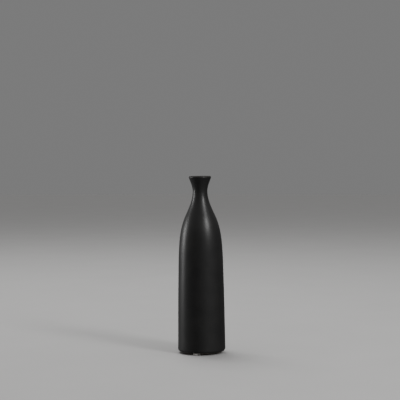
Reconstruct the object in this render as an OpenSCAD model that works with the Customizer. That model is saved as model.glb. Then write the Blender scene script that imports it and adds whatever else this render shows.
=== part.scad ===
// A bottle-shaped bud vase: a thrown stoneware form with a matte black glaze outside, a glaze
// lining inside, and three stick-on pads under its foot. The thrown form leans a little towards
// -X and its foot is ground flat. The origin is on the table, under the middle of the foot.

/* [Thrown form] */
// Height of the vase from its foot to its rim, along its own axis
clay_h = 280; // [276:1:290]
// Lean of the thrown form towards -X, in degrees
lean = 0.63; // [0:0.01:1]
// Largest radius, just above the heel
foot_r = 38; // [37:0.1:40]
// Radius of the rounded edge between the wall and the foot
heel_r = 5.5; // [5:0.1:6.5]
// Height of the middle of the body above the foot
waist_z = 120; // [100:1:135]
// Radius at the middle of the body
waist_r = 36.3; // [36:0.1:37]
// Height at which the shoulder starts to turn in
shoulder_z = 174; // [168:1:180]
// Radius where the shoulder starts
shoulder_r = 34.1; // [33:0.1:35]
// Height of the steepest part of the shoulder
slope_z = 218; // [214:1:222]
// Radius at the steepest part of the shoulder
slope_r = 23.2; // [22:0.1:24]
// Height of the narrowest part of the neck
neck_z = 255.5; // [254:0.5:258]
// Radius of the neck at its narrowest
neck_r = 11.7; // [11.4:0.1:13]
// Largest radius of the lip
lip_r = 17.8; // [17.2:0.1:18.6]
// Radius of the rounded rim
rim_r = 2.2; // [1.8:0.1:2.4]

/* [Wall and glaze] */
// Thickness of the wall of the body, clay and both glazes together
wall_t = 4.6; // [4:0.1:5.2]
// Thickness of each glaze
glaze_t = 0.5; // [0.3:0.05:0.6]
// Thickness of the floor at its middle
floor_t = 7; // [6:0.1:9]
// Radius of the round corner between the wall and the floor inside
corner_r = 9; // [6:0.5:12]
// Radius of the straight throat
throat_r = 8; // [7:0.1:8.4]
// Height of the bottom of the straight throat
throat_low_z = 247; // [244:0.5:249]
// Height of the top of the straight throat, where the two glazes meet
throat_top_z = 262; // [260:0.5:263]
// How far under the heel the outer glaze reaches, in degrees below level
glaze_line_angle = 40; // [20:1:45]

/* [Foot and pads] */
// Radius of the shallow hollow turned in the underside
hollow_r = 19; // [10:0.5:19.5]
// Depth of the hollow in the underside
hollow_d = 1.4; // [0.6:0.1:2]
// Radius of a pad
pad_r = 6.35; // [5:0.05:6.4]
// Height of a pad with its adhesive
pad_h = 3; // [2:0.1:4]
// Thickness of the adhesive on a pad
adhesive_t = 0.2; // [0.1:0.05:0.4]
// Radius of the circle that the pads' centres lie on
pad_circle_r = 26.2; // [25.6:0.1:26.4]
// Turn of the first pad from the front (-Y) towards -X, in degrees
pad_turn = 18; // [0:1:60]

/* [Hidden] */
$fn = 96;

clay_color = "#4b443d";
glaze_color = "#1d1d1f";
lining_color = "#26262a";
pad_color = "#d6d3cb";
adhesive_color = "#ece9df";

pad_count = 3;          // pads, evenly spaced round the foot
span_steps = 8;         // straight pieces between two stations of an outline
arc_steps = 10;         // straight pieces in a rounded edge
foot_trim = 0.6;        // ground off the foot to make it level
cut_size = 120;         // side of the block that grinds the foot
pad_edge_r = 1.1;       // rounded lower edge of a pad
pad_taper = 0.7;        // how much less the radius is at the bottom of a pad's side
hollow_taper = 1;       // how much less the hollow's radius is at its top
past = 1;               // how far the hollow's cutter reaches below the foot

// Slope of the outline at each station: change of radius over change of height
foot_slope = -0.012;
waist_slope = -0.026;
shoulder_slope = -0.09;
steep_slope = -0.465;
lip_slope = 0.37;
mouth_slope = 0.5;

// Middles of the rounded edges at the heel, at the rim and inside the floor, as [radius, height]
heel_mid = [foot_r - heel_r, heel_r - glaze_t - foot_trim];
rim_mid = [lip_r - rim_r, clay_h - rim_r];
corner_mid = [foot_r - wall_t - corner_r, floor_t + corner_r];

// Directions at which the outlines meet the rounded edges, in degrees above level
heel_end = -atan(foot_slope);
rim_start = -atan(lip_slope);
rim_end = 180 - atan(mouth_slope);

function polar(mid, radius, angle) = mid + radius * [cos(angle), sin(angle)];

function arc(mid, radius, from, to) =
    [for (i = [0:arc_steps]) polar(mid, radius, from + (to - from) * i / arc_steps)];

// A station is [height, radius, slope]; this one is a fraction t of the way from a to b
function between(a, b, t) =
    let (h = b[0] - a[0])
    let (rise = 3 * t * t - 2 * t * t * t)
    let (radius = a[1] + (b[1] - a[1]) * rise
                  + h * (a[2] * t * (1 - t) * (1 - t) - b[2] * t * t * (1 - t)))
    let (slope = (b[1] - a[1]) / h * 6 * t * (1 - t)
                 + a[2] * (1 - t) * (1 - 3 * t) + b[2] * t * (3 * t - 2))
    [a[0] + h * t, radius, slope];

// A smooth run of stations through the given ones, without the first and the last
function run(stations) =
    [for (k = [1:span_steps * (len(stations) - 1) - 1])
        let (i = floor(k / span_steps))
        between(stations[i], stations[i + 1], k / span_steps - i)];

// The point a distance outwards from a station, square to the outline
function outward(station, distance) =
    let (across = 1 / sqrt(1 + station[2] * station[2]))
    [station[1] + distance * across, station[0] - distance * station[2] * across];

function station_on(mid, radius, angle, slope) =
    let (p = polar(mid, radius, angle))
    [p[1], p[0], slope];

outer_stations = [
    station_on(heel_mid, heel_r, heel_end, foot_slope),
    [waist_z, waist_r, waist_slope],
    [shoulder_z, shoulder_r, shoulder_slope],
    [slope_z, slope_r, steep_slope],
    [neck_z, neck_r, 0],
    station_on(rim_mid, rim_r, rim_start, lip_slope)
];

mouth_stations = [
    station_on(rim_mid, rim_r, rim_end, mouth_slope),
    [throat_top_z, throat_r, 0]
];

// The wall is measured square to the outline, so it is thicker across where the shoulder leans
steep_wall = wall_t * sqrt(1 + steep_slope * steep_slope);
chamber_stations = [
    [throat_low_z, throat_r, 0],
    [slope_z, slope_r - steep_wall, steep_slope],
    [shoulder_z, shoulder_r - wall_t, shoulder_slope],
    [waist_z, waist_r - wall_t, waist_slope],
    [corner_mid[1], corner_mid[0] + corner_r, 0]
];

// Outline of the outer glaze's face from the glaze line over the rim to the throat, inset by d
function outer_face(d) = concat(
    arc(heel_mid, heel_r - d, -glaze_line_angle, heel_end),
    [for (s = run(outer_stations)) outward(s, -d)],
    arc(rim_mid, rim_r - d, rim_start, rim_end),
    [for (s = run(mouth_stations)) outward(s, d)],
    [[throat_r + d, throat_top_z]]);

// Outline of the lining's face from the top of the throat down to the middle of the floor
function inner_face(d) = concat(
    [[throat_r + d, throat_top_z], [throat_r + d, throat_low_z]],
    [for (s = run(chamber_stations)) outward(s, d)],
    arc(corner_mid, corner_r + d, 0, -90),
    [[0, floor_t - d]]);

function reversed(points) = [for (i = [len(points) - 1:-1:0]) points[i]];

function tail(points) = [for (i = [1:len(points) - 1]) points[i]];

// Turns an outline, leans it, grinds its foot level and stands it on its pads
module thrown(outline) {
    translate([0, 0, pad_h])
        difference() {
            rotate([0, -lean, 0])
                rotate_extrude()
                    polygon(outline);
            translate([-cut_size / 2, -cut_size / 2, -cut_size])
                cube(cut_size);
        }
}

module vase_body() {
    bare_heel = arc(heel_mid, heel_r - glaze_t, -90, -glaze_line_angle);
    outline = concat([[0, -foot_trim]], bare_heel, tail(outer_face(glaze_t)),
                     tail(inner_face(glaze_t)));
    color(clay_color)
        difference() {
            thrown(outline);
            translate([0, 0, pad_h - past])
                cylinder(r1 = hollow_r + hollow_taper * past / hollow_d,
                         r2 = hollow_r - hollow_taper, h = hollow_d + past);
        }
}

module exterior_glaze() {
    color(glaze_color)
        thrown(concat(outer_face(0), reversed(outer_face(glaze_t))));
}

module interior_glaze() {
    color(lining_color)
        thrown(concat(inner_face(0), reversed(inner_face(glaze_t))));
}

// Puts its children where the pad of that number stands
module at_pad(number) {
    rotate([0, 0, -pad_turn - 360 / pad_count * (number - 1)])
        translate([0, -pad_circle_r, 0])
            children();
}

module foot_pad(number) {
    edge_mid = [pad_r - pad_taper - pad_edge_r, pad_edge_r];
    color(pad_color)
        at_pad(number)
            rotate_extrude()
                polygon(concat([[0, 0]], arc(edge_mid, pad_edge_r, -90, 0),
                               [[pad_r, pad_h - adhesive_t], [0, pad_h - adhesive_t]]));
}

module pad_adhesive(number) {
    color(adhesive_color)
        at_pad(number)
            translate([0, 0, pad_h - adhesive_t])
                cylinder(r = pad_r, h = adhesive_t);
}

vase_body();
exterior_glaze();
interior_glaze();
for (number = [1:pad_count]) {
    foot_pad(number);
    pad_adhesive(number);
}
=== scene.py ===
import bpy
import math
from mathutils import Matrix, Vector, noise


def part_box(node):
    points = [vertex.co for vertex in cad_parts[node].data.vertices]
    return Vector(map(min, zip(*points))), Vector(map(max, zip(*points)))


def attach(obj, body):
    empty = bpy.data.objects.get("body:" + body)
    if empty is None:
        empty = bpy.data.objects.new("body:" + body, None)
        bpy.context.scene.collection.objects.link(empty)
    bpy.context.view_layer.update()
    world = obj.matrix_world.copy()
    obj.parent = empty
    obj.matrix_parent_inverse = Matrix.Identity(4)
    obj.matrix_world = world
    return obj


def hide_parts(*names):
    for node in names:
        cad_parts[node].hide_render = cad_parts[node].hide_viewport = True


# A bottle-shaped bud vase in matte black glaze. The CAD solids fix where everything is; here
# each one is replaced by a smooth, finely turned mesh of the same outline, with the faint
# unevenness of a thrown pot. Lengths are in metres.

MM = 0.001

# The outline, the same as in the CAD, as heights above the foot along the leaning axis
CLAY_H = 280 * MM
LEAN = math.radians(0.63)
FOOT_R = 38 * MM
HEEL_R = 5.5 * MM
WAIST_Z, WAIST_R, WAIST_SLOPE = 120 * MM, 36.3 * MM, -0.026
SHOULDER_Z, SHOULDER_R, SHOULDER_SLOPE = 174 * MM, 34.1 * MM, -0.09
STEEP_Z, STEEP_R, STEEP_SLOPE = 218 * MM, 23.2 * MM, -0.465
NECK_Z, NECK_R = 255.5 * MM, 11.7 * MM
LIP_R, RIM_R = 17.8 * MM, 2.2 * MM
FOOT_SLOPE, LIP_SLOPE, MOUTH_SLOPE = -0.012, 0.37, 0.5
WALL_T, GLAZE_T = 4.6 * MM, 0.5 * MM
FLOOR_T, CORNER_R = 7 * MM, 9 * MM
THROAT_R, THROAT_LOW_Z, THROAT_TOP_Z = 8 * MM, 247 * MM, 262 * MM
FOOT_TRIM = 0.6 * MM
GLAZE_LINE_ANGLE = -40
HOLLOW_R, HOLLOW_D, HOLLOW_TAPER = 19 * MM, 1.4 * MM, 1 * MM
PAD_EDGE_R, PAD_TAPER = 1.1 * MM, 0.7 * MM

# How finely the meshes are turned
AROUND = 192
FINE_STEP = 0.8 * MM
COARSE_STEP = 4 * MM
ARC_STEPS = 14
FLOOR_RINGS = 8
FOOT_STEPS = 64
BEAD_STEPS = 6
PAD_AROUND = 72

# Unevenness from the throwing and the turning, all of it into the wall from the CAD's outline
RING_PITCH, RING_DEPTH = 6.5 * MM, 0.02 * MM
RING_DRIFT, RING_DRIFT_LENGTH = 1.4 * MM, 22 * MM
WOBBLE_DEPTH, WOBBLE_LENGTH = 0.06 * MM, 30 * MM
FINGER_PITCH, FINGER_DEPTH = 9 * MM, 0.15 * MM
TOOL_PITCH, TOOL_DEPTH = 1.6 * MM, 0.08 * MM

# Heights between which that unevenness sets in, and those between which it dies out
RINGS_SET_IN, RINGS_DIE_OUT = (8 * MM, 33 * MM), (SHOULDER_Z, STEEP_Z)
FINGERS_SET_IN, FINGERS_DIE_OUT = (FLOOR_T, FLOOR_T + 30 * MM), (205 * MM, 240 * MM)

# How far the glaze line wanders upwards, in degrees round the heel, and how quickly
GLAZE_LINE_WANDER, GLAZE_LINE_QUICKNESS = 4, 2.2

# Small edges of the pads and their adhesive, and the draft of a pad's side in degrees
PAD_LIP_R = 0.3 * MM
PAD_DRAFT = 12
ADHESIVE_INSET = 0.2 * MM

# How far below the rim the glaze starts to thin, and where it is thinnest
RIM_BREAK_START, RIM_BREAK_END = 3.0 * MM, 0.4 * MM

# The camera stands 1.84 m in front, a little above the rim, and looks slightly down
CAMERA_DISTANCE = 1.838
CAMERA_HEIGHT = 0.3055
CAMERA_X = -0.0029
CAMERA_DROP = math.radians(1.90)
LENS, SENSOR_WIDTH = 103.5, 36

# Brightness of the grey room: to the camera, on the floor, and mirrored in the glaze
ROOM_SEEN = 0.2
ROOM_FILL = 0.385
ROOM_MIRRORED_LOW = 0.10
ROOM_MIRRORED_HIGH = 0.39
CEILING_Z = 0.8

# Wide glows mirrored from the sides of the room: direction in degrees, and brightness
ROOM_GLOWS = [(45, 0.28), (-100, 0.2)]

FLOOR_RADIUS, FLOOR_SIDES = 9.0, 96

# How far off the lamps stand, and the height that they face
LAMP_DISTANCE = 2.4
LAMP_AIM_Z = 0.15

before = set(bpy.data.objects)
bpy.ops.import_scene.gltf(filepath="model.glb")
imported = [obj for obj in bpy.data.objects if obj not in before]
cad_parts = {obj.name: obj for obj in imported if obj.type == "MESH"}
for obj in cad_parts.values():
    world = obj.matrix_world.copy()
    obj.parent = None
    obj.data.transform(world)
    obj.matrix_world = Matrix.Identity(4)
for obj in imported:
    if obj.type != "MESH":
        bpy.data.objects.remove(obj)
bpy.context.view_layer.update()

foot_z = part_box("vase_body")[0].z


# ---------------------------------------------------------------- outline

def polar(mid, radius, degrees):
    a = math.radians(degrees)
    return (mid[0] + radius * math.cos(a), mid[1] + radius * math.sin(a))


def arc(mid, radius, start, end, steps=ARC_STEPS):
    return [polar(mid, radius, start + (end - start) * i / steps) for i in range(steps + 1)]


def slope_angle(slope):
    return -math.degrees(math.atan(slope))


def station_on(mid, radius, degrees, slope):
    r, z = polar(mid, radius, degrees)
    return (z, r, slope)


def between(a, b, t):
    h = b[0] - a[0]
    rise = 3 * t ** 2 - 2 * t ** 3
    bend = a[2] * t * (1 - t) ** 2 - b[2] * t ** 2 * (1 - t)
    slope = ((b[1] - a[1]) / h * 6 * t * (1 - t)
             + a[2] * (1 - t) * (1 - 3 * t) + b[2] * t * (3 * t - 2))
    return (a[0] + h * t, a[1] + (b[1] - a[1]) * rise + h * bend, slope)


def run(stations, step):
    """Stations through the given ones, about a step apart, without the first and the last."""
    found = []
    for a, b in zip(stations, stations[1:]):
        count = max(2, round(abs(b[0] - a[0]) / step))
        found += [between(a, b, i / count) for i in range(count)]
    return found[1:]


def outward(station, distance):
    z, r, slope = station
    across = 1 / math.sqrt(1 + slope ** 2)
    return (r + distance * across, z - distance * slope * across)


HEEL_MID = (FOOT_R - HEEL_R, HEEL_R - GLAZE_T - FOOT_TRIM)
RIM_MID = (LIP_R - RIM_R, CLAY_H - RIM_R)
CORNER_MID = (FOOT_R - WALL_T - CORNER_R, FLOOR_T + CORNER_R)
HEEL_END = slope_angle(FOOT_SLOPE)
RIM_START = slope_angle(LIP_SLOPE)
RIM_END = 180 + slope_angle(MOUTH_SLOPE)
STEEP_WALL = WALL_T * math.sqrt(1 + STEEP_SLOPE ** 2)

OUTER = [
    station_on(HEEL_MID, HEEL_R, HEEL_END, FOOT_SLOPE),
    (WAIST_Z, WAIST_R, WAIST_SLOPE),
    (SHOULDER_Z, SHOULDER_R, SHOULDER_SLOPE),
    (STEEP_Z, STEEP_R, STEEP_SLOPE),
    (NECK_Z, NECK_R, 0),
    station_on(RIM_MID, RIM_R, RIM_START, LIP_SLOPE),
]
MOUTH = [
    station_on(RIM_MID, RIM_R, RIM_END, MOUTH_SLOPE),
    (THROAT_TOP_Z, THROAT_R, 0),
]
CHAMBER = [
    (THROAT_LOW_Z, THROAT_R, 0),
    (STEEP_Z, STEEP_R - STEEP_WALL, STEEP_SLOPE),
    (SHOULDER_Z, SHOULDER_R - WALL_T, SHOULDER_SLOPE),
    (WAIST_Z, WAIST_R - WALL_T, WAIST_SLOPE),
    (CORNER_MID[1], CORNER_MID[0] + CORNER_R, 0),
]


# ---------------------------------------------------------------- meshes

def leaned(r, z, turn):
    """A point of the upright form, leaned towards -X and stood on the pads."""
    x, y = r * math.cos(turn), r * math.sin(turn)
    return Vector((x * math.cos(LEAN) - z * math.sin(LEAN), y,
                   x * math.sin(LEAN) + z * math.cos(LEAN) + foot_z))


def level(r, z, turn):
    """A point that doesn't lean, at a height above the ground foot."""
    return Vector((r * math.cos(turn), r * math.sin(turn), foot_z + z))


def ring(r, z):
    """A ring is a function from the turn round the axis to a point on it."""
    return lambda turn: leaned(r, z, turn)


def turned(name, rings, around=AROUND, closed=False):
    """Joins rings into a smooth mesh. They run outwards below, up outside and down inside, so
    that the faces look out. A ring that stays in one place becomes a single point."""
    points, rows = [], []
    for place in rings:
        row = [place(2 * math.pi * i / around) for i in range(around)]
        if (row[0] - row[around // 2]).length < 1e-9:
            row = row[:1]
        rows.append(range(len(points), len(points) + len(row)))
        points += row
    faces = []
    for low, high in zip(rows, rows[1:] + (rows[:1] if closed else [])):
        for i in range(around):
            corners = [low[i % len(low)], low[(i + 1) % around % len(low)],
                       high[(i + 1) % around % len(high)], high[i % len(high)]]
            corners = list(dict.fromkeys(corners))
            if len(corners) > 2:
                faces.append(corners)
    mesh = bpy.data.meshes.new(name)
    mesh.from_pydata(points, [], faces)
    mesh.polygons.foreach_set("use_smooth", [True] * len(mesh.polygons))
    mesh.update()
    piece = bpy.data.objects.new(name, mesh)
    bpy.context.collection.objects.link(piece)
    return piece


def ripple(distance, pitch, turn):
    """0 to 1 across a groove that climbs one pitch in each turn."""
    return 0.5 + 0.5 * math.sin(2 * math.pi * distance / pitch - turn)


def fade(value, start, end):
    """0 before start, 1 after end."""
    return min(1, max(0, (value - start) / (end - start)))


def thrown_depth(z, turn):
    """How far the fired surface lies under the true outline: rings that climb as the thrower's
    fingers did, stronger in some places than others, and a slow wobble. The heel, the neck and
    the lip were finished smooth."""
    here = Vector((math.cos(turn), math.sin(turn), z / WOBBLE_LENGTH))
    strength = 0.55 + 0.45 * noise.noise(here + Vector((7, 0, 0)))
    drift = RING_DRIFT * noise.noise(Vector((0, 3, z / RING_DRIFT_LENGTH)))
    rings = RING_DEPTH * strength * ripple(z + drift, RING_PITCH, turn)
    wobble = WOBBLE_DEPTH * (0.5 + 0.5 * noise.noise(here * 0.8))
    return (rings + wobble) * fade(z, *RINGS_SET_IN) * (1 - fade(z, *RINGS_DIE_OUT))


def thrown_ring(r, z):
    return lambda turn: leaned(r - thrown_depth(z, turn), z, turn)


def finger_ring(r, z):
    """A ring of the inside wall, where the thrower's fingers left deeper marks."""
    depth = FINGER_DEPTH * fade(z, *FINGERS_SET_IN) * (1 - fade(z, *FINGERS_DIE_OUT))
    return lambda turn: leaned(r + depth * ripple(z, FINGER_PITCH, turn), z, turn)


def heel_rings(radius, start):
    """Rings up the rounded heel, from start(turn) in degrees below level to the wall."""
    def ring_at(part):
        def place(turn):
            first = start(turn)
            r, z = polar(HEEL_MID, radius, first + (HEEL_END - first) * part)
            return leaned(r, z, turn)
        return place
    return [ring_at(i / ARC_STEPS) for i in range(ARC_STEPS + 1)]


def outside_rings(start, d, step, wall_ring):
    """Up the heel and the wall, over the rim and down to the throat, all inset by d."""
    return (heel_rings(HEEL_R - d, start)
            + [wall_ring(*outward(s, -d)) for s in run(OUTER, step)]
            + [ring(*p) for p in arc(RIM_MID, RIM_R - d, RIM_START, RIM_END)]
            + [ring(*outward(s, d)) for s in run(MOUTH, step)]
            + [ring(THROAT_R + d, THROAT_TOP_Z)])


def inside_rings(d, step, wall_ring):
    """Down the throat and the chamber to the middle of its floor, all inset by d."""
    floor = [(CORNER_MID[0] * i / FLOOR_RINGS, FLOOR_T - d) for i in range(FLOOR_RINGS - 1, -1, -1)]
    return ([ring(THROAT_R + d, THROAT_TOP_Z), ring(THROAT_R + d, THROAT_LOW_Z)]
            + [wall_ring(*outward(s, d)) for s in run(CHAMBER, step)]
            + [ring(*p) for p in arc(CORNER_MID, CORNER_R + d, 0, -90)]
            + [ring(*p) for p in floor])


def glaze_line(turn):
    """Where the outer glaze ends under the heel. It was wiped by hand, so it wanders."""
    here = Vector((math.cos(turn), math.sin(turn), 0)) * GLAZE_LINE_QUICKNESS
    wander = noise.noise(here + Vector((0, 0, 5)))
    return GLAZE_LINE_ANGLE + GLAZE_LINE_WANDER * abs(wander)


def bead_rings():
    """The rounded lower edge of the outer glaze, from its back round to its face."""
    def ring_at(part):
        def place(turn):
            line = glaze_line(turn)
            mid = polar(HEEL_MID, HEEL_R - GLAZE_T / 2, line)
            r, z = polar(mid, GLAZE_T / 2, line - 180 + 180 * part)
            return leaned(r, z, turn)
        return place
    return [ring_at(i / BEAD_STEPS) for i in range(1, BEAD_STEPS)]


def make_exterior_glaze():
    face = outside_rings(glaze_line, 0, FINE_STEP, thrown_ring)
    back = outside_rings(glaze_line, GLAZE_T, COARSE_STEP, ring)
    return turned("black_glaze_skin", bead_rings() + face + back[::-1], closed=True)


def make_lining():
    face = inside_rings(0, FINE_STEP * 2, finger_ring)
    back = inside_rings(GLAZE_T, COARSE_STEP, ring)
    return turned("lining_glaze_skin", face + back[::-1], closed=True)


def ground_angle(turn):
    """Where the ground foot cuts the bare clay's rounded heel, in degrees. The foot is level
    and the form leans, so this changes round the foot."""
    across, up = math.cos(turn) * math.sin(LEAN), math.cos(LEAN)
    height = (HEEL_MID[0] * across + HEEL_MID[1] * up) / (HEEL_R - GLAZE_T)
    return -math.degrees(math.asin(height / math.hypot(across, up)) + math.atan2(across, up))


def hollow_rings():
    """The shallow hollow under the foot, with the spiral that the turning tool left."""
    def ring_at(part):
        def place(turn):
            r = (HOLLOW_R - HOLLOW_TAPER) * part
            mark = TOOL_DEPTH * ripple(r, TOOL_PITCH, turn) * (1 - fade(part, 0.9, 1))
            return level(r, HOLLOW_D + mark * fade(part, 0, 0.05), turn)
        return place
    return [ring_at(i / FOOT_STEPS) for i in range(FOOT_STEPS + 1)]


def foot_rings():
    """The ground foot, from the edge of the hollow to the rounded heel."""
    def ring_at(part):
        def place(turn):
            inner = level(HOLLOW_R, 0, turn)
            outer = leaned(*polar(HEEL_MID, HEEL_R - GLAZE_T, ground_angle(turn)), turn)
            point = inner.lerp(outer, part)
            mark = TOOL_DEPTH * ripple(point.xy.length, TOOL_PITCH, turn)
            point.z = foot_z + mark * fade(part, 0, 0.1) * (1 - fade(part, 0.85, 0.95))
            return point
        return place
    return [ring_at(i / FOOT_STEPS) for i in range(FOOT_STEPS)]


def make_clay():
    """The fired clay under the glaze, with its ground foot and the hollow turned in it."""
    body = (outside_rings(ground_angle, GLAZE_T, COARSE_STEP, ring)
            + inside_rings(GLAZE_T, COARSE_STEP, ring)[1:])
    return turned("fired_clay_body", hollow_rings() + foot_rings() + body)


def disc_rings(node, outline):
    """Rings of an upright round piece that takes the place of a CAD disc. outline(radius, low,
    high) gives its points from the middle of its underside to the middle of its top."""
    low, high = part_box(node)
    mid = (low + high) / 2
    points = outline((high.x - low.x) / 2, low.z, high.z)
    return [lambda turn, r=r, z=z: Vector((mid.x + r * math.cos(turn),
                                           mid.y + r * math.sin(turn), z)) for r, z in points]


def pad_outline(radius, low, high):
    """A soft moulded bumper: rounded below, a little draft to its side, and a soft top edge."""
    flat = radius - PAD_TAPER - PAD_EDGE_R
    top = radius - PAD_LIP_R
    return ([(0, low), (flat / 2, low)]
            + arc((flat, low + PAD_EDGE_R), PAD_EDGE_R, -90, -PAD_DRAFT)
            + arc((top, high - PAD_LIP_R), PAD_LIP_R, -PAD_DRAFT, 90)
            + [(top / 2, high), (0, high)])


def adhesive_outline(radius, low, high):
    """A die-cut film, a little smaller than the pad, with a rounded edge."""
    half = (high - low) / 2
    rim = radius - ADHESIVE_INSET - half
    return [(0, low)] + arc((rim, low + half), half, -90, 90, BEAD_STEPS) + [(0, high)]


# ---------------------------------------------------------------- materials

class Nodes:
    """Short calls for building the nodes of a new material or world."""

    def __init__(self, owner, coordinates):
        owner.use_nodes = True
        self.owner, self.tree = owner, owner.node_tree
        self.place = self.tree.nodes.new("ShaderNodeTexCoord").outputs[coordinates]

    def add(self, kind, inputs=None, **settings):
        made = self.tree.nodes.new(kind)
        for key, value in settings.items():
            setattr(made, key, value)
        for key, value in (inputs or {}).items():
            self.feed(value, made.inputs[key])
        return made

    def feed(self, value, socket):
        if isinstance(value, bpy.types.NodeSocket):
            self.tree.links.new(value, socket)
        else:
            socket.default_value = value

    def noise(self, scale, detail=4, roughness=0.55, place=None):
        made = self.add("ShaderNodeTexNoise", {"Vector": place or self.place, "Scale": scale,
                                               "Detail": detail, "Roughness": roughness})
        return made.outputs["Fac"]

    def cells(self, scale):
        """Scattered dots: how far the nearest one is, and a number that is its own, 0 to 1."""
        made = self.add("ShaderNodeTexVoronoi", {"Vector": self.place, "Scale": scale}).outputs
        own = self.add("ShaderNodeSeparateXYZ", {"Vector": made["Color"]}).outputs["X"]
        return made["Distance"], own

    def spread(self, value, low, high, to_low, to_high):
        made = self.add("ShaderNodeMapRange", {"Value": value, "From Min": low,
                                               "From Max": high, "To Min": to_low,
                                               "To Max": to_high})
        return made.outputs["Result"]

    def mix(self, amount, a, b):
        made = self.add("ShaderNodeMix", data_type="RGBA")
        self.feed(amount, made.inputs["Factor"])
        for socket, value in zip([s for s in made.inputs if s.type == "RGBA"], (a, b)):
            self.feed(value, socket)
        return [s for s in made.outputs if s.type == "RGBA"][0]

    def math(self, operation, a, b):
        made = self.add("ShaderNodeMath", operation=operation)
        self.feed(a, made.inputs[0])
        self.feed(b, made.inputs[1])
        return made.outputs[0]

    def bump(self, height, strength, distance, normal=None):
        made = self.add("ShaderNodeBump", {"Height": height, "Strength": strength,
                                           "Distance": distance})
        if normal is not None:
            self.feed(normal, made.inputs["Normal"])
        return made.outputs["Normal"]

    def finish(self, node, **sockets):
        for key, value in sockets.items():
            self.feed(value, self.tree.nodes[node].inputs[key.replace("_", " ")])
        return self.owner


class Material(Nodes):
    def __init__(self, name):
        super().__init__(bpy.data.materials.new(name), "Object")

    def finish(self, **sockets):
        return super().finish("Principled BSDF", **sockets)


def gray(value, warm=0.0):
    return (value * (1 + warm), value, value * (1 - warm), 1)


def black_glaze():
    """Satin matte black: a fine tooth on a slight orange peel, faint mottling, a few pinholes,
    and thinner, browner glaze where it broke over the rim."""
    n = Material("satin_black_glaze")
    cloud = n.noise(38, 5)
    mottle = n.noise(420, 4)
    tooth = n.noise(2600, 3, 0.6)
    color = n.mix(n.spread(cloud, 0.35, 0.65, 0, 1), gray(0.0045), gray(0.0075, 0.04))
    speck = n.spread(mottle, 0.62, 0.72, 0, 1)
    color = n.mix(speck, color, gray(0.013, 0.1))
    height = n.add("ShaderNodeSeparateXYZ", {"Vector": n.place}).outputs["Z"]
    rim_z = foot_z + CLAY_H
    thin = n.spread(height, rim_z - RIM_BREAK_START, rim_z - RIM_BREAK_END, 0, 0.6)
    color = n.mix(thin, color, gray(0.018, 0.12))
    rough = n.spread(n.math("ADD", cloud, n.math("MULTIPLY", mottle, 0.5)), 0.5, 1.0,
                     0.33, 0.42)
    distance, chosen = n.cells(260.0)
    pinhole = n.math("MAXIMUM", n.spread(distance, 0.02, 0.08, 0, 1),
                     n.math("LESS_THAN", chosen, 0.7))
    surface = n.bump(cloud, 0.25, 0.4 * MM)
    surface = n.bump(n.noise(640, 2), 0.35, 0.1 * MM, surface)
    surface = n.bump(tooth, 0.3, 0.05 * MM, surface)
    surface = n.bump(pinhole, 0.7, 0.15 * MM, surface)
    return n.finish(Base_Color=color, Roughness=rough, Normal=surface, IOR=1.5)


def lining_glaze():
    n = Material("lining_glaze_gloss")
    cloud = n.noise(60, 4)
    color = n.mix(cloud, gray(0.012), gray(0.021, 0.08))
    rough = n.spread(cloud, 0.3, 0.7, 0.16, 0.26)
    return n.finish(Base_Color=color, Roughness=rough,
                    Normal=n.bump(n.noise(180, 3), 0.15, 0.2 * MM), IOR=1.5)


def bare_clay():
    """Dark gritty stoneware, with grog of other shades in it."""
    n = Material("bare_dark_stoneware")
    body = n.noise(70, 6)
    grit = n.noise(1500, 5, 0.7)
    distance, chosen = n.cells(620.0)
    size = n.spread(chosen, 0.4, 1, 0, 0.34)
    grog = n.math("GREATER_THAN", n.math("SUBTRACT", size, distance), 0)
    color = n.mix(body, gray(0.06, 0.2), gray(0.1, 0.24))
    color = n.mix(n.math("MULTIPLY", grog, 0.6), color, gray(0.22, 0.22))
    rough = n.spread(grit, 0.3, 0.7, 0.78, 0.95)
    return n.finish(Base_Color=color, Roughness=rough,
                    Normal=n.bump(grit, 0.6, 0.25 * MM), IOR=1.45)


def clear_pad():
    """Cloudy clear soft plastic, with a little dust in its skin."""
    n = Material("cloudy_clear_bumper")
    haze = n.noise(300, 4)
    dust = n.spread(n.noise(2200, 3), 0.6, 0.7, 0, 0.5)
    color = n.mix(haze, gray(0.66, 0.02), gray(0.82, 0.03))
    color = n.mix(dust, color, gray(0.5, 0.06))
    rough = n.spread(haze, 0.3, 0.7, 0.28, 0.42)
    return n.finish(Base_Color=color, Roughness=rough, Normal=n.bump(haze, 0.1, 0.1 * MM),
                    Subsurface_Weight=0.35, Subsurface_Radius=(1, 1, 1), Subsurface_Scale=0.002,
                    IOR=1.5)


def adhesive():
    n = Material("pad_adhesive_film")
    haze = n.noise(500, 4)
    color = n.mix(haze, gray(0.55, 0.06), gray(0.7, 0.09))
    rough = n.spread(haze, 0.3, 0.7, 0.4, 0.6)
    return n.finish(Base_Color=color, Roughness=rough, Normal=n.bump(haze, 0.2, 0.05 * MM))


def floor_paint():
    n = Material("pale_floor")
    cloud = n.noise(6, 3)
    color = n.mix(cloud, gray(0.5, 0.01), gray(0.54, 0.01))
    return n.finish(Base_Color=color, Roughness=0.9, Specular_IOR_Level=0)


# ---------------------------------------------------------------- stage

def make_floor():
    """A wide flat disc. The glaze doesn't mirror it, which keeps the lower body dark."""
    mesh = bpy.data.meshes.new("floor")
    turns = [2 * math.pi * i / FLOOR_SIDES for i in range(FLOOR_SIDES)]
    edge = [(FLOOR_RADIUS * math.cos(turn), FLOOR_RADIUS * math.sin(turn), 0) for turn in turns]
    mesh.from_pydata(edge, [], [tuple(range(FLOOR_SIDES))])
    floor = bpy.data.objects.new("floor", mesh)
    bpy.context.collection.objects.link(floor)
    floor.visible_glossy = False
    mesh.materials.append(floor_paint())


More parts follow.
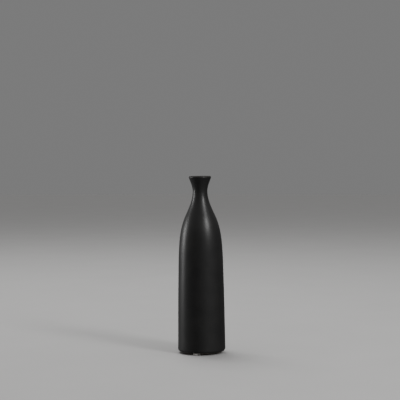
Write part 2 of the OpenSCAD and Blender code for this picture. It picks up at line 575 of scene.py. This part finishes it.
def toward(turn, up):
    """A direction from the vase, turned from the camera's side towards +X and raised, both in
    degrees."""
    t, u = math.radians(turn), math.radians(up)
    return Vector((math.sin(t) * math.cos(u), -math.cos(t) * math.cos(u), math.sin(u)))


def softbox(name, turn, up, wide, tall, brightness, mirrored=True, diffuse=True):
    """A flat area light that fills the given angles, in degrees, as the vase sees it. It shows
    in the glaze if it is mirrored, and lights the floor and other matte surfaces if diffuse."""
    lamp = bpy.data.lights.new(name, "AREA")
    lamp.shape = "RECTANGLE"
    lamp.size, lamp.size_y = (2 * LAMP_DISTANCE * math.tan(math.radians(angle / 2))
                              for angle in (wide, tall))
    lamp.energy = math.pi * lamp.size * lamp.size_y * brightness
    made = bpy.data.objects.new(name, lamp)
    bpy.context.collection.objects.link(made)
    made.location = Vector((0, 0, LAMP_AIM_Z)) + toward(turn, up) * LAMP_DISTANCE
    made.rotation_mode = "QUATERNION"
    made.rotation_quaternion = (-toward(turn, up)).to_track_quat("-Z", "Y")
    made.visible_camera = False
    made.visible_glossy = mirrored
    made.visible_diffuse = diffuse


def make_world():
    """A plain grey room. The camera sees an even grey and the floor is lit by a brighter one.
    The glaze mirrors a dim one, lighter towards its ceiling and in a wide glow on some sides."""
    n = Nodes(bpy.data.worlds.new("studio"), "Generated")
    rays = n.add("ShaderNodeLightPath").outputs
    height = n.add("ShaderNodeSeparateXYZ", {"Vector": n.place}).outputs["Z"]
    strength = n.spread(height, 0, CEILING_Z, ROOM_MIRRORED_LOW, ROOM_MIRRORED_HIGH)
    for turn, brightness in ROOM_GLOWS:
        facing = n.add("ShaderNodeVectorMath", {0: n.place, 1: toward(turn, 0)},
                       operation="DOT_PRODUCT").outputs["Value"]
        glow = n.math("POWER", n.math("MAXIMUM", facing, 0), 2)
        strength = n.math("ADD", strength, n.math("MULTIPLY", glow, brightness))
    for ray, brightness in (("Is Diffuse Ray", ROOM_FILL), ("Is Camera Ray", ROOM_SEEN)):
        strength = n.add("ShaderNodeMix", {"Factor": rays[ray], "A": strength,
                                           "B": brightness}).outputs["Result"]
    bpy.context.scene.world = n.finish("Background", Strength=strength, Color=(1, 1, 1, 1))


def make_camera():
    data = bpy.data.cameras.new("camera")
    data.lens = LENS
    data.sensor_width = SENSOR_WIDTH
    camera = bpy.data.objects.new("camera", data)
    bpy.context.collection.objects.link(camera)
    camera.location = (CAMERA_X, -CAMERA_DISTANCE, CAMERA_HEIGHT)
    camera.rotation_euler = (math.pi / 2 - CAMERA_DROP, 0, 0)
    bpy.context.scene.camera = camera


# ---------------------------------------------------------------- making

def stand_for(node, piece, material):
    """Finishes a piece and puts it in the place of a CAD node."""
    piece.data.materials.append(material)
    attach(piece, "root")
    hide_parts(node)


make_camera()

stand_for("vase_body", make_clay(), bare_clay())
stand_for("exterior_glaze", make_exterior_glaze(), black_glaze())
stand_for("interior_glaze", make_lining(), lining_glaze())
pad_material, adhesive_material = clear_pad(), adhesive()
for number in (1, 2, 3):
    node = f"foot_pad_{number}"
    pad = turned(f"bumper_pad_{number}", disc_rings(node, pad_outline), PAD_AROUND)
    stand_for(node, pad, pad_material)
    node = f"pad_adhesive_{number}"
    film = turned(f"bumper_adhesive_{number}", disc_rings(node, adhesive_outline), PAD_AROUND)
    stand_for(node, film, adhesive_material)

make_floor()
make_world()
softbox("key", turn=45, up=31, wide=12, tall=12, brightness=24)
softbox("key_upper", turn=56, up=48, wide=16, tall=10, brightness=3.8)
softbox("side", turn=-105, up=10, wide=10, tall=24, brightness=11.3, diffuse=False)
softbox("overhead", turn=-150, up=65, wide=30, tall=30, brightness=6, mirrored=False)
